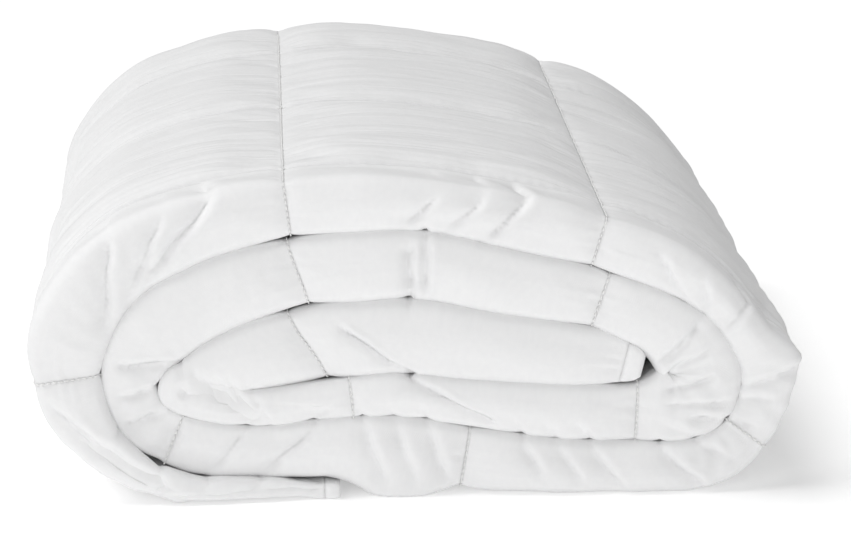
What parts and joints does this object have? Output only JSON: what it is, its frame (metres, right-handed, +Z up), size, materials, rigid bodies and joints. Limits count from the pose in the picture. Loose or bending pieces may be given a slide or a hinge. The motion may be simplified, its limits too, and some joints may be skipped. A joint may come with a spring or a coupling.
{
  "type": "duvet",
  "caption": "White box-quilted duvet, folded in half twice across its width and rolled up lengthwise into a flattened roll",
  "frame": {"origin": "centre of the footprint, on the floor that the roll rests on", "axes": "+Z up; +Y along the roll, from the rounded folded end (-Y) to the end with the long edges (+Y); +X to the right as seen from the folded end"},
  "size_m": [0.4863, 0.5497, 0.2106],
  "materials": {
    "face_fabric": "smooth white brushed microfibre or fine cotton shell, plain weave, soft sheen",
    "lining_fabric": "plain white shell fabric of the duvet's other side",
    "filling": "loose white fibre filling",
    "hem": "turned and double-stitched white edge",
    "thread": "white sewing thread"
  },
  "bodies": {
    "root": {"face_fabric": "face_fabric", "lining_fabric": "lining_fabric", "filling_row_01": "filling", "filling_row_02": "filling", "filling_row_03": "filling", "filling_row_04": "filling", "filling_row_05": "filling", "filling_row_06": "filling", "filling_row_07": "filling", "filling_row_08": "filling", "filling_row_09": "filling", "filling_row_10": "filling", "filling_row_11": "filling", "filling_row_12": "filling", "cross_stitch_01": "thread", "cross_stitch_02": "thread", "cross_stitch_03": "thread", "cross_stitch_04": "thread", "cross_stitch_05": "thread", "cross_stitch_06": "thread", "cross_stitch_07": "thread", "cross_stitch_08": "thread", "cross_stitch_09": "thread", "cross_stitch_10": "thread", "cross_stitch_11": "thread", "inner_end_hem": "hem", "outer_end_hem": "hem", "first_side_hem": "hem", "second_side_hem": "hem"}
  },
  "joints": []
}
